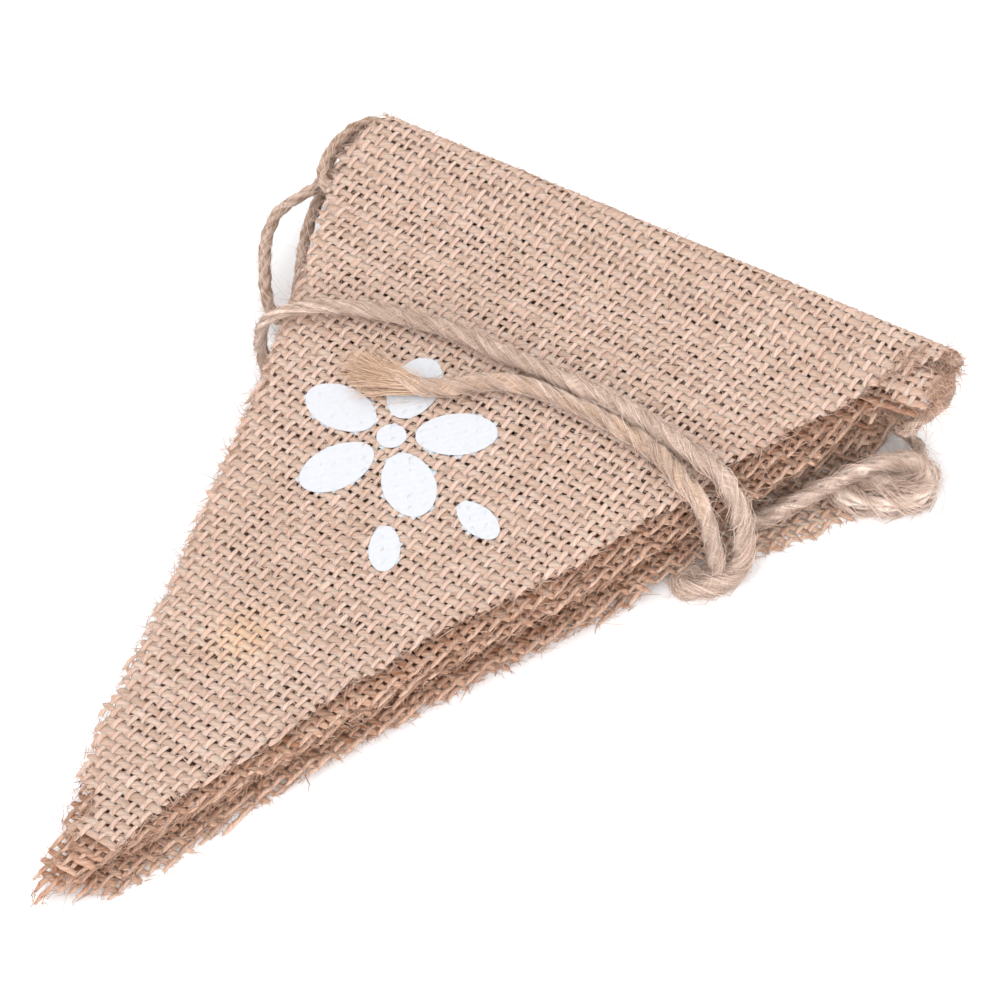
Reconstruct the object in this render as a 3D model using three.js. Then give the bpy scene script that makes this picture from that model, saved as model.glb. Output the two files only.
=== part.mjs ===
// Burlap pennant bunting, folded up into a stack and tied round with its own twine.
// Millimetres, +Z up, standing on z = 0. X runs along the hems, the pennants point to -Y.
// Each pennant is one thin closed sheet whose top edge is folded round the twine, and the
// twine is one run from hem to hem that ends as the tie.
import * as THREE from 'three';

// Driving dimensions
const PENNANTS = 6;
const CLOTH = 1.0;
const TWINE_RADIUS = 1.25;
const AIR = 0.3;
const TUNNEL = TWINE_RADIUS + AIR + CLOTH / 2;
const HEM_PITCH = 2 * TUNNEL + CLOTH + AIR;
const HEM_Y = 64.4;
const HEM_SLANT = 0.03;
const HEM_EASE = 24;
const FLAP = 14;
const FLAP_REST = CLOTH + AIR;
const ACROSS = [0, 0.2, 0.4, 0.6, 0.75, 0.85, 0.93, 1];
const TUNNEL_STEPS = 6;

// Distance between neighbouring sheets, from the tips to the hems, as [y, distance]
const SPACING = [[-150, 1.85], [-100, 2.25], [-60, 2.8], [-30, 3.4], [0, 4.2], [22, 4.7], [42, 5.1],
  [HEM_Y, HEM_PITCH], [HEM_Y + 23, HEM_PITCH + 0.3]];

// Where the tie turns back under the lowest pennant, and how far it lifts each sheet, top first
const TURN = { x: 46, y: 1, flat: 7, ease: 8 };
const TURN_LIFT = [0.2, 0.3, 0.5, 0.8, 1.3, 3.1];

// Slow wave of the upper cloth
const WAVE = 0.8;

// Cut edges as [y, x] from tip to hem, then the ends of the hem and of its flap.
// The cloth is folded over once: side 1 folds the flap below the pennant, side -1 above it.
const SHAPES = [
  { side: 1, tip: -136, hem: [-74.5, 73], flap: [-76, 76.5],
    left: [[-136, -15], [-131, -13.3], [-127, -15], [-125, -20.2], [-112, -26], [-82, -33.8],
      [-50, -43.4], [-21, -51.7], [0, -59.2], [11, -62.7], [35, -73.2], [49, -77.3], [58, -76.2]],
    right: [[-136, -2], [-120, -1], [-100, 5.6], [-73, 12], [-52, 19.4], [-26, 33.2], [5, 45],
      [15, 47.6], [34, 55], [51, 62.9], [58, 67]] },
  { side: -1, tip: -140, hem: [-76.5, 70], flap: [-77, 72],
    left: [[-140, -12], [-120, -20], [-80, -34], [0, -60.5], [35, -72], [52, -77]],
    right: [[-140, -4], [-100, 9], [-52, 23.5], [-26, 34.5], [5, 46.3], [15, 49.5], [34, 57], [52, 64]] },
  { side: 1, tip: -143, hem: [-81, 62], flap: [-80, 64],
    left: [[-143, -13], [-120, -19], [-80, -33], [0, -61.5], [52, -77.5]],
    right: [[-143, -7], [-100, 8], [-52, 25], [-26, 36], [5, 47], [15, 51], [34, 58], [52, 61]] },
  { side: -1, tip: -152, hem: [-81, 60.5], flap: [-80, 62.5],
    left: [[-152, -13], [-120, -23.5], [-80, -35], [0, -61.5], [52, -77.5]],
    right: [[-152, -10.5], [-130, -2.5], [-100, 7], [-52, 23.5], [-26, 33], [5, 46], [34, 55], [52, 59]] },
  { side: 1, tip: -146, hem: [-81, 60.5], flap: [-80, 62],
    left: [[-146, -10], [-120, -19], [-80, -34], [0, -61.5], [52, -77.5]],
    right: [[-146, -5], [-100, 10], [-52, 27], [-26, 37], [5, 47.5], [27, 48.5], [43, 56], [52, 58.5]] },
  { side: -1, tip: -141, hem: [-81, 60.5], flap: [-80, 62],
    left: [[-141, -6.5], [-120, -17.5], [-80, -32], [0, -61.5], [52, -77.5]],
    right: [[-141, -1.5], [-120, 5], [-86, 13], [-52, 25.5], [-26, 35.5], [-12, 42], [-1, 46], [6, 48],
      [14, 55], [22, 60], [33, 66], [42, 67.5], [52, 64]] },
];

// Rows of the body between tip and hem
const ROWS = [-131, -127, -125, -112, -98, -82, -66, -52, -40, -30, -21, -13, -9, -5, 1, 7, 11, 15, 20, 28,
  38, 47, 55];

// Twine centreline, chosen by hand: in and out of the hems from the top one to the lowest,
// out at the right, round the stack and over it as the tie, and back to its frayed end.
const TWINE = [
  [76.6, 66.6, 29.55], [-74.8, 62.1, 29.55],
  [-78.6, 59.8, 29.2], [-80.2, 55.2, 28.4], [-80.4, 49.6, 27.2], [-79.2, 44.8, 25.7], [-75.8, 41.6, 24.2],
  [-73.4, 44.4, 23.7], [-77.4, 46.6, 23.7], [-80.6, 49, 23.4], [-82.6, 53.2, 23.2], [-82.2, 58.4, 23.7],
  [-77.5, 62, 24.15], [70.5, 66.5, 24.15],
  [74, 65.8, 23.9], [75.6, 62.8, 22.6], [74.2, 59.2, 20.2], [71.6, 57, 17.4], [69.8, 56, 14.4],
  [67.6, 57.4, 12.9], [66.6, 61.2, 14.2], [66.6, 64.8, 17], [63.2, 66.3, 18.75], [-81, 62, 18.75],
  [-84.7, 59.4, 18.8], [-84.6, 54.5, 18.4], [-82.4, 47.4, 17.8], [-84.4, 42, 16.8], [-86.8, 37, 14.4],
  [-85.6, 30.6, 11.4], [-81.6, 24.4, 8.2], [-76.6, 18.6, 5.2], [-72.6, 16.6, 4.2], [-71.4, 20.6, 4.9],
  [-74.2, 27.4, 7.4], [-78.6, 36, 11], [-82.2, 46, 13], [-84.8, 54.5, 13.4], [-84.6, 59.4, 13.5],
  [-81, 61.9, 13.35], [61, 66.2, 13.35],
  [65.2, 65.9, 12.7], [66.4, 65.6, 10.8], [65.2, 65.9, 8.9], [61, 66.2, 7.95], [-81.5, 61.9, 7.95],
  [-85.6, 61.7, 7.5], [-87, 61.6, 5.4], [-85.6, 61.6, 3.3], [-81.5, 61.9, 2.55], [61, 66.2, 2.55],
  [66.6, 65.2, 2.6], [71.2, 61.8, 2.2], [72.8, 56.6, 1.9], [70.8, 51.8, 2.2], [66.6, 48.4, 2.8],
  [63, 45.4, 2.9], [62, 42.8, 3], [63.8, 41, 3], [67.4, 41.8, 2.7], [71.4, 44, 2.3],
  [75.4, 47.6, 2.2], [77.6, 51.8, 2.8], [76.8, 55.2, 4.4], [73.4, 56.2, 5.8], [69.2, 53.8, 6.6],
  [65.2, 47.6, 7.2], [61.4, 39.4, 7], [57.2, 30.6, 5.6], [52.4, 23.8, 3.9],
  [44, 20, 2.8], [-60, 2, 2.6],
  [-64.8, 2.8, 3.4], [-66.3, 2, 9], [-65.2, 0.6, 16], [-62.4, 0.2, 22.4], [-57, 4.8, 24.8],
  [-47.5, 10.6, 25.3], [-36.6, 14.3, 25.7], [-24.6, 16.4, 26], [-10, 16.7, 26.1], [6.9, 17, 26.2],
  [20, 17, 26.1], [34, 14.8, 25.9], [48.2, 12, 25.4], [53.2, 11.2, 20.6], [56, 10.6, 11], [56.4, 8.6, 3.6],
  [54.4, 4, 1.5], [51.6, 0.2, 1.35], [48.8, -1.6, 1.35], [46.4, 0.2, 1.35], [47.2, 3.6, 1.35],
  [50.8, 4.8, 1.45], [52.8, 5.2, 4], [51.8, 5, 11], [49.8, 4.9, 18], [48.2, 4.9, 22.6], [45, 5.1, 24.8],
  [36, 9, 25.4], [27.7, 11, 25.6], [12, 12.2, 25.7], [-2, 11, 25.5], [-9.3, 7.7, 25],
  [-15.5, 2.2, 24.4], [-22, -0.8, 24], [-36.5, -1.9, 23.5],
];

// Cubic ease from 0 to 1
function ease(t) {
  const s = Math.min(Math.max(t, 0), 1);
  return s * s * (3 - 2 * s);
}

// Value of a [position, value] list, straight between its points
function along(list, at) {
  if (at <= list[0][0]) return list[0][1];
  for (let k = 1; k < list.length; k += 1) {
    const [a, va] = list[k - 1];
    const [b, vb] = list[k];
    if (at <= b) return va + (vb - va) * (at - a) / (b - a);
  }
  return list[list.length - 1][1];
}

// Spacing of the sheets at y, with its corners rounded off
function spacing(y) {
  const reach = 8;
  return (along(SPACING, y - reach) + 2 * along(SPACING, y) + along(SPACING, y + reach)) / 4;
}

// Height of the middle of pennant n's sheet
function sheetHeight(n, x, y) {
  const below = PENNANTS - 1 - n;
  const hemY = HEM_Y + HEM_SLANT * x;
  const wave = WAVE * Math.sin(x / 21 + 1) * Math.sin(y / 33 + 0.4) * ease((hemY - y) / 30) * below / 5;
  const fromTurn = Math.hypot(x - TURN.x, y - TURN.y);
  const lift = TURN_LIFT[n] * ease(1 - (fromTurn - TURN.flat) / TURN.ease);
  const hem = (1 + SHAPES[n].side) * TUNNEL * ease(1 - (hemY - y) / HEM_EASE);
  return CLOTH / 2 + below * spacing(y - HEM_SLANT * x) + wave + lift + hem;
}

// Middle surface of one pennant as rows of points: body, tunnel round the twine, flap
function sheetRows(n) {
  const { side, tip, hem, flap, left, right } = SHAPES[n];
  const axisZ = CLOTH / 2 + (PENNANTS - 1 - n) * HEM_PITCH + TUNNEL;
  const rows = [];
  const addRow = (xl, xr, place) => {
    rows.push(ACROSS.map((share) => place(xl + (xr - xl) * share)));
  };
  for (const y of [tip, ...ROWS.filter((row) => row > tip + 2)]) {
    const slant = HEM_SLANT * ease((y - 10) / 45);
    addRow(along(left, y), along(right, y), (x) => {
      const at = y + slant * x;
      return new THREE.Vector3(x, at, sheetHeight(n, x, at));
    });
  }
  const foldLength = Math.PI * TUNNEL;
  const width = (run) => [0, 1].map((end) => hem[end] + (flap[end] - hem[end]) * run / (foldLength + FLAP));
  for (let k = 0; k <= TUNNEL_STEPS; k += 1) {
    const turn = Math.PI * k / TUNNEL_STEPS;
    const [xl, xr] = width(TUNNEL * turn);
    addRow(xl, xr, (x) => new THREE.Vector3(x, HEM_Y + HEM_SLANT * x + TUNNEL * Math.sin(turn),
      axisZ + side * TUNNEL * Math.cos(turn)));
  }
  for (const run of [4, 8, FLAP]) {
    const [xl, xr] = width(foldLength + run);
    const apart = 2 * TUNNEL + (FLAP_REST - 2 * TUNNEL) * ease(run / 8);
    addRow(xl, xr, (x) => {
      const y = HEM_Y + HEM_SLANT * x - run;
      return new THREE.Vector3(x, y, sheetHeight(n, x, y) - side * apart);
    });
  }
  return rows;
}

// Closed sheet: the rows moved half the cloth's thickness to either side, joined round the rim
function closedSheet(rows, outward) {
  const high = rows.length;
  const wide = rows[0].length;
  const at = (r, c) => rows[Math.min(Math.max(r, 0), high - 1)][Math.min(Math.max(c, 0), wide - 1)];
  const skins = [[], []];
  for (let r = 0; r < high; r += 1) {
    for (let c = 0; c < wide; c += 1) {
      const acrossRow = at(r, c + 1).clone().sub(at(r, c - 1));
      const alongRow = at(r + 1, c).clone().sub(at(r, c)).normalize()
        .add(at(r, c).clone().sub(at(r - 1, c)).normalize());
      const normal = acrossRow.cross(alongRow).normalize().multiplyScalar(CLOTH / 2 * outward);
      skins[0].push(at(r, c).clone().add(normal));
      skins[1].push(at(r, c).clone().sub(normal));
    }
  }
  const points = [...skins[0], ...skins[1]];
  const lower = high * wide;
  const faces = [];
  const quad = (a, b, c, d) => {
    const order = outward > 0 ? [a, b, c, a, c, d] : [a, c, b, a, d, c];
    faces.push(...order);
  };
  for (let r = 0; r + 1 < high; r += 1) {
    for (let c = 0; c + 1 < wide; c += 1) {
      const i = r * wide + c;
      quad(i, i + 1, i + wide + 1, i + wide);
      quad(lower + i, lower + i + wide, lower + i + wide + 1, lower + i + 1);
    }
  }
  const rim = [];
  for (let c = 0; c < wide; c += 1) rim.push(c);
  for (let r = 1; r < high; r += 1) rim.push(r * wide + wide - 1);
  for (let c = wide - 2; c >= 0; c -= 1) rim.push((high - 1) * wide + c);
  for (let r = high - 2; r > 0; r -= 1) rim.push(r * wide);
  rim.forEach((i, k) => {
    const next = rim[(k + 1) % rim.length];
    quad(lower + i, lower + next, next, i);
  });
  const geometry = new THREE.BufferGeometry();
  geometry.setAttribute('position', new THREE.Float32BufferAttribute(points.flatMap((p) => p.toArray()), 3));
  geometry.setIndex(faces);
  geometry.computeVertexNormals();
  return geometry;
}

function pennant(n) {
  const cloth = new THREE.MeshStandardMaterial({ color: 0xcfb090, roughness: 0.95, metalness: 0 });
  const mesh = new THREE.Mesh(closedSheet(sheetRows(n), 1), cloth);
  mesh.name = `pennant_${n + 1}`;
  return mesh;
}

// Smooth curve through the hand-chosen points, one step from each point to the next
class TwineCurve extends THREE.CatmullRomCurve3 {
  getPointAt(u, target) {
    return this.getPoint(u, target);
  }

  getTangentAt(u, target) {
    return this.getTangent(u, target);
  }
}

function twine() {
  const section = new THREE.Shape();
  const sides = 8;
  for (let k = 0; k < sides; k += 1) {
    const turn = 2 * Math.PI * k / sides;
    const x = TWINE_RADIUS * Math.cos(turn);
    const y = TWINE_RADIUS * Math.sin(turn);
    if (k === 0) section.moveTo(x, y);
    else section.lineTo(x, y);
  }
  section.closePath();
  const path = new TwineCurve(TWINE.map((point) => new THREE.Vector3(...point)), false, 'centripetal');
  const tube = new THREE.ExtrudeGeometry(section, { steps: TWINE.length - 1, extrudePath: path });
  const jute = new THREE.MeshStandardMaterial({ color: 0xb08a64, roughness: 0.95, metalness: 0 });
  const mesh = new THREE.Mesh(tube, jute);
  mesh.name = 'twine';
  return mesh;
}

const bunting = new THREE.Group();
for (let n = 0; n < PENNANTS; n += 1) bunting.add(pennant(n));
bunting.add(twine());

export default bunting;
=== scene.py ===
"""Burlap pennant bunting, folded up and tied with its own twine.

Every pennant is woven yarn by yarn over the folded shape that the CAD model gives it, and the
twine is a three-strand tube on the CAD model's centreline. Sizes are millimetres until a mesh
is made.
"""
import math

import bpy
import numpy as np
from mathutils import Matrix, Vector


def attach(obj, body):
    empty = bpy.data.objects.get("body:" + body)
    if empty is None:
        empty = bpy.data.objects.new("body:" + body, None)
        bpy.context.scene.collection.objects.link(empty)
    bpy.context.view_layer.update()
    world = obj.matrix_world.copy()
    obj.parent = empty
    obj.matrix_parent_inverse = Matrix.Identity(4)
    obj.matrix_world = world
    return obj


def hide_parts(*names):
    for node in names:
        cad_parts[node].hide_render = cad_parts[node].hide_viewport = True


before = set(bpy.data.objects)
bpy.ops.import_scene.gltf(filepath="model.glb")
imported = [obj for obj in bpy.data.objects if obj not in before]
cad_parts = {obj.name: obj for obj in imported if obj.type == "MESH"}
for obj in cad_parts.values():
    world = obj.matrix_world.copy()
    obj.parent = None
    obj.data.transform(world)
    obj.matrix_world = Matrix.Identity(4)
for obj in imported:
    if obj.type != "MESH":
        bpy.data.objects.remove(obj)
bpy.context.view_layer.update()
rng = np.random.default_rng(11)
MM = 0.001

# Folded shape, as in part.mjs
PENNANTS = 6
CLOTH = 1.0
TWINE_RADIUS = 1.25
AIR = 0.3
TUNNEL = TWINE_RADIUS + AIR + CLOTH / 2
HEM_PITCH = 2 * TUNNEL + CLOTH + AIR
HEM_Y = 64.4
HEM_SLANT = 0.03
HEM_EASE = 24
FLAP = 14
FLAP_REST = CLOTH + AIR
FOLD = math.pi * TUNNEL
SPACING = [[-150, 1.85], [-100, 2.25], [-60, 2.8], [-30, 3.4], [0, 4.2], [22, 4.7], [42, 5.1],
           [HEM_Y, HEM_PITCH], [HEM_Y + 23, HEM_PITCH + 0.3]]
WAVE = dict(height=0.8, across=21, along=33, fade=30)

# Where the tie turns in under the stack, and how far it lifts each pennant there
TURN = dict(x=46, y=1, flat=7, soft=8)
TURN_LIFT = [0.2, 0.3, 0.5, 0.8, 1.3, 3.1]

# Cut edges as [y, x] from tip to hem, then the ends of the hem and of its flap
SHAPES = [
    dict(side=1, tip=-136, hem=(-74.5, 73), flap=(-76, 76.5),
         left=[[-136, -15], [-131, -13.3], [-127, -15], [-125, -20.2], [-112, -26], [-82, -33.8],
               [-50, -43.4], [-21, -51.7], [0, -59.2], [11, -62.7], [35, -73.2], [49, -77.3],
               [58, -76.2]],
         right=[[-136, -2], [-120, -1], [-100, 5.6], [-73, 12], [-52, 19.4], [-26, 33.2], [5, 45],
                [15, 47.6], [34, 55], [51, 62.9], [58, 67]]),
    dict(side=-1, tip=-140, hem=(-76.5, 70), flap=(-77, 72),
         left=[[-140, -12], [-120, -20], [-80, -34], [0, -60.5], [35, -72], [52, -77]],
         right=[[-140, -4], [-100, 9], [-52, 23.5], [-26, 34.5], [5, 46.3], [15, 49.5], [34, 57],
                [52, 64]]),
    dict(side=1, tip=-143, hem=(-81, 62), flap=(-80, 64),
         left=[[-143, -13], [-120, -19], [-80, -33], [0, -61.5], [52, -77.5]],
         right=[[-143, -7], [-100, 8], [-52, 25], [-26, 36], [5, 47], [15, 51], [34, 58],
                [52, 61]]),
    dict(side=-1, tip=-152, hem=(-81, 60.5), flap=(-80, 62.5),
         left=[[-152, -13], [-120, -23.5], [-80, -35], [0, -61.5], [52, -77.5]],
         right=[[-152, -10.5], [-130, -2.5], [-100, 7], [-52, 23.5], [-26, 33], [5, 46], [34, 55],
                [52, 59]]),
    dict(side=1, tip=-146, hem=(-81, 60.5), flap=(-80, 62),
         left=[[-146, -10], [-120, -19], [-80, -34], [0, -61.5], [52, -77.5]],
         right=[[-146, -5], [-100, 10], [-52, 27], [-26, 37], [5, 47.5], [27, 48.5], [43, 56],
                [52, 58.5]]),
    dict(side=-1, tip=-141, hem=(-81, 60.5), flap=(-80, 62),
         left=[[-141, -6.5], [-120, -17.5], [-80, -32], [0, -61.5], [52, -77.5]],
         right=[[-141, -1.5], [-120, 5], [-86, 13], [-52, 25.5], [-26, 35.5], [-12, 42], [-1, 46],
                [6, 48], [14, 55], [22, 60], [33, 66], [42, 67.5], [52, 64]]),
]

# Twine centreline, as in part.mjs
TWINE = [
    # In the top hem
    [76.6, 66.6, 29.55], [-74.8, 62.1, 29.55],
    # Loop at the left end
    [-78.6, 59.8, 29.2], [-80.2, 55.2, 28.4], [-80.4, 49.6, 27.2], [-79.2, 44.8, 25.7],
    [-75.8, 41.6, 24.2], [-73.4, 44.4, 23.7], [-77.4, 46.6, 23.7], [-80.6, 49, 23.4],
    [-82.6, 53.2, 23.2], [-82.2, 58.4, 23.7],
    # In the second hem
    [-77.5, 62, 24.15], [70.5, 66.5, 24.15],
    # Turn at the right end
    [74, 65.8, 23.9], [75.6, 62.8, 22.6], [74.2, 59.2, 20.2], [71.6, 57, 17.4], [69.8, 56, 14.4],
    [67.6, 57.4, 12.9], [66.6, 61.2, 14.2], [66.6, 64.8, 17],
    # In the third hem
    [63.2, 66.3, 18.75], [-81, 62, 18.75],
    # Long loop down the left side
    [-84.7, 59.4, 18.8], [-84.6, 54.5, 18.4], [-82.4, 47.4, 17.8], [-84.4, 42, 16.8],
    [-86.8, 37, 14.4], [-85.6, 30.6, 11.4], [-81.6, 24.4, 8.2], [-76.6, 18.6, 5.2],
    [-72.6, 16.6, 4.2], [-71.4, 20.6, 4.9], [-74.2, 27.4, 7.4], [-78.6, 36, 11], [-82.2, 46, 13],
    [-84.8, 54.5, 13.4], [-84.6, 59.4, 13.5],
    # In the fourth hem
    [-81, 61.9, 13.35], [61, 66.2, 13.35],
    # Turn at the right end
    [65.2, 65.9, 12.7], [66.4, 65.6, 10.8], [65.2, 65.9, 8.9],
    # In the fifth hem
    [61, 66.2, 7.95], [-81.5, 61.9, 7.95],
    # Turn at the left end
    [-85.6, 61.7, 7.5], [-87, 61.6, 5.4], [-85.6, 61.6, 3.3],
    # In the sixth hem
    [-81.5, 61.9, 2.55], [61, 66.2, 2.55],
    # Loop off the right end
    [66.6, 65.2, 2.6], [71.2, 61.8, 2.2], [72.8, 56.6, 1.9], [70.8, 51.8, 2.2], [66.6, 48.4, 2.8],
    [63, 45.4, 2.9], [62, 42.8, 3], [63.8, 41, 3], [67.4, 41.8, 2.7], [71.4, 44, 2.3],
    [75.4, 47.6, 2.2], [77.6, 51.8, 2.8], [76.8, 55.2, 4.4], [73.4, 56.2, 5.8], [69.2, 53.8, 6.6],
    [65.2, 47.6, 7.2], [61.4, 39.4, 7], [57.2, 30.6, 5.6], [52.4, 23.8, 3.9],
    # Between the two lowest pennants
    [44, 20, 2.8], [-60, 2, 2.6],
    # Up the left side
    [-64.8, 2.8, 3.4], [-66.3, 2, 9], [-65.2, 0.6, 16], [-62.4, 0.2, 22.4],
    # The tie, over the top pennant
    [-57, 4.8, 24.8], [-47.5, 10.6, 25.3], [-36.6, 14.3, 25.7], [-24.6, 16.4, 26],
    [-10, 16.7, 26.1], [6.9, 17, 26.2], [20, 17, 26.1], [34, 14.8, 25.9], [48.2, 12, 25.4],
    # Down the right side, and the turn under the stack
    [53.2, 11.2, 20.6], [56, 10.6, 11], [56.4, 8.6, 3.6], [54.4, 4, 1.5], [51.6, 0.2, 1.35],
    [48.8, -1.6, 1.35], [46.4, 0.2, 1.35], [47.2, 3.6, 1.35], [50.8, 4.8, 1.45],
    # Up again
    [52.8, 5.2, 4], [51.8, 5, 11], [49.8, 4.9, 18], [48.2, 4.9, 22.6],
    # Back over the top pennant to the free end
    [45, 5.1, 24.8], [36, 9, 25.4], [27.7, 11, 25.6], [12, 12.2, 25.7], [-2, 11, 25.5],
    [-9.3, 7.7, 25], [-15.5, 2.2, 24.4], [-22, -0.8, 24], [-36.5, -1.9, 23.5],
]

# Places on the twine, as numbers of TWINE's points
TIE_START = 50
GOLDEN_START = 95
BRUSH_START = 104.7

# What changes round one place on the twine, as (place, reach) in numbers of TWINE's points
CORNER = (17.5, 4)
RIGHT_LOOP_SPLAY = (59, 8)
RIGHT_LOOP_LOOSE = (60, 9)
# Painted light on the right loop, which the stack shades
RIGHT_LOOP_PAINTED_LIGHT = (61, 14)
LEFT_SIDE_SLACK = (75, 5)
UNDERTURN_LOOSE = (87, 9)
UNDERTURN_FIBRES = (88, 7)
# Painted light on the strand down the right side and the underturn
UNDERTURN_PAINTED_LIGHT = (88, 8)

# Camera of the photograph
CAMERA_AZIMUTH = 34
CAMERA_ELEVATION = 45
CAMERA_DISTANCE = 1.05
CAMERA_LENS = 171.07

# Weave. Widths, heights and levels are of one yarn, and a tone is a share of light fibre
WARP_PITCH = 2.1
WEFT_PITCH = 2.5
# The warp's tone is raised as a painted highlight and the weft's lowered as painted shade, as the
# warp crests higher and the weft lies lower
WARP = dict(width=1.2, height=0.42, crimp=0.16, level=0.07, tone=0.2)
WEFT = dict(width=2.04, height=0.34, crimp=0.14, level=-0.05, tone=-0.15)
WARP_ANGLE = 2
WEFT_ANGLE = -4.4
LEAN = [0, 1.1, -0.8, 1.6, -1.3, 0.6]
INNER_WIDTH = 1.25
# Tone offset of each pennant: partly tone that differs from pennant to pennant, partly painted
# shade, the darker pennants standing for the shade between the layers along the stack's side
PENNANT_TONES_AND_SHADE = [0, -0.1, 0.1, -0.3, -0.1, 0.1]
# Painted shade on the inner pennants, away from their cut edges
INNER_PAINTED_SHADE = 0.5
CREST = 0.26
YARN_TWIST = 7
YARN_TONE = (0.5, 0.13)
YARN_SPREAD = 0.09
SLUB = 0.1
CUT_EDGE = (0.1, 0.45)
FEWEST_RINGS = 8
TOP_SIDES = 6
INNER_SIDES = 4
PAINT_LIFT = 0.42

# Loose fibres of each kind: how many, their tone as middle and spread, their half thickness and
# their curl as ranges, and the steps along each. The fringe's count is for each yarn end, and the
# rim's for each cut side
FIBRES = dict(
    fringe=dict(count=4, radius=(0.035, 0.085), curl=(0.1, 0.6), steps=2),
    rim=dict(count=400, tone=(0.45, 0.32), radius=(0.05, 0.15), curl=(0.2, 0.6), steps=2),
    hem_end=dict(radius=(0.07, 0.18), curl=(0.3, 0.9), steps=3),
    twine_fuzz=dict(count=3600, tone=(0.6, 0.3), radius=(0.035, 0.065), curl=(0.1, 0.6), steps=2),
    twine_fibres=dict(count=2300, tone=(0.45, 0.4), radius=(0.05, 0.12), steps=6),
    twine_brush=dict(count=620, tone=(0.4, 0.25), radius=(0.06, 0.13), curl=(0.03, 0.2), steps=6),
    cloth_fuzz=dict(count=5200, tone=(0.55, 0.25), radius=(0.035, 0.075), curl=(0.05, 0.35),
                    steps=2),
    cloth_haze=dict(count=9000, tone=(0.5, 0.25), radius=(0.13, 0.24), curl=(0, 0.04), steps=1),
    stray_fibres=dict(tone=(1.0, 0.15), radius=(0.06, 0.1), curl=(0.3, 0.5), steps=14),
)
HEM_ENDS = [dict(count=500, reach=1, tone=0.65), dict(count=450, reach=3.5, tone=0.6),
            dict(count=350, reach=5, tone=0.4)]
HAIR_FLOOR = 0.15
HAIR_CEILING = 35

# Colours of the fibre, from dark to light, and of what is on it
JUTE_TONES = (0.28, 0.17, 0.11), (0.95, 0.77, 0.67)
BURLAP_TONES = (0.38, 0.24, 0.17), (0.72, 0.54, 0.46)
# Painted shade: a darker, warmer copy of the burlap's colours for the pennants under the top one,
# as they lie in the stack's shade
SHADED_INNER_TONES = (0.28, 0.13, 0.07), (0.8, 0.57, 0.45)
GOLDEN = (0.86, 0.53, 0.27)
PAINTED_YARN = (0.58, 0.58, 0.6)
PAINT_FILM = (0.53, 0.54, 0.57), (0.59, 0.6, 0.63)
FLOOR = (0.93, 0.93, 0.94)

# Streaks along and round a yarn, as scales of its noise
JUTE_STREAKS = (0.16, 22, 1)
BURLAP_STREAKS = (0.22, 7, 1)

# Studio. Azimuths are from the camera's, sizes and distances in metres and powers in watts
WORLD_LIGHT = 0.75
LIGHTS = [dict(name="overhead", azimuth=180, elevation=86, distance=1.2, size=1.4, power=6),
          dict(name="key", azimuth=215, elevation=50, distance=1.2, size=0.5, power=2),
          dict(name="fill", azimuth=-5, elevation=36, distance=1.4, size=1.2, power=17.5)]
FLOOR_HALF = 3.0


def ease(t):
    """Cubic ease from 0 to 1."""
    s = np.clip(t, 0, 1)
    return s * s * (3 - 2 * s)


def along(points, at):
    """Second value of a table at a first value, between its rows."""
    table = np.array(points, float)
    return np.interp(at, table[:, 0], table[:, 1])


def near(where, spot):
    """1 at a spot on the twine, easing to 0 at its reach."""
    middle, reach = spot
    return ease(1 - np.abs(where - middle) / reach)


def spacing(y):
    """Distance from pennant to pennant in the stack."""
    reach = 8
    return (along(SPACING, y - reach) + 2 * along(SPACING, y) + along(SPACING, y + reach)) / 4


def sheet_height(n, x, y):
    """Height of the middle of pennant n's sheet."""
    below = PENNANTS - 1 - n
    hem_y = HEM_Y + HEM_SLANT * x
    wave = WAVE["height"] * np.sin(x / WAVE["across"] + 1) * np.sin(y / WAVE["along"] + 0.4)
    wave = wave * ease((hem_y - y) / WAVE["fade"]) * below / (PENNANTS - 1)
    from_turn = np.hypot(x - TURN["x"], y - TURN["y"])
    lift = TURN_LIFT[n] * ease(1 - (from_turn - TURN["flat"]) / TURN["soft"])
    hem = (1 + SHAPES[n]["side"]) * TUNNEL * ease(1 - (hem_y - y) / HEM_EASE)
    return CLOTH / 2 + below * spacing(y - HEM_SLANT * x) + wave + lift + hem


def place(n, x, y):
    """Point of pennant n's middle surface for a point of the flat cloth."""
    side = SHAPES[n]["side"]
    axis_z = CLOTH / 2 + (PENNANTS - 1 - n) * HEM_PITCH + TUNNEL
    hem_y = HEM_Y + HEM_SLANT * x
    run = y - hem_y
    turn = np.clip(run, 0, FOLD) / TUNNEL
    back = np.maximum(run - FOLD, 0)
    apart = 2 * TUNNEL + (FLAP_REST - 2 * TUNNEL) * ease(back / 8)
    body = np.stack([x, y, sheet_height(n, x, y)], -1)
    fold = np.stack([x, hem_y + TUNNEL * np.sin(turn), axis_z + side * TUNNEL * np.cos(turn)], -1)
    flap_y = hem_y - back
    flap = np.stack([x, flap_y, sheet_height(n, x, flap_y) - side * apart], -1)
    return np.where((run > FOLD)[..., None], flap, np.where((run > 0)[..., None], fold, body))


def place_normal(n, x, y):
    step = 0.2
    across = place(n, x + step, y) - place(n, x - step, y)
    along_y = place(n, x, y + step) - place(n, x, y - step)
    normal = np.cross(across, along_y)
    return normal / np.linalg.norm(normal, axis=-1, keepdims=True)


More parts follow.
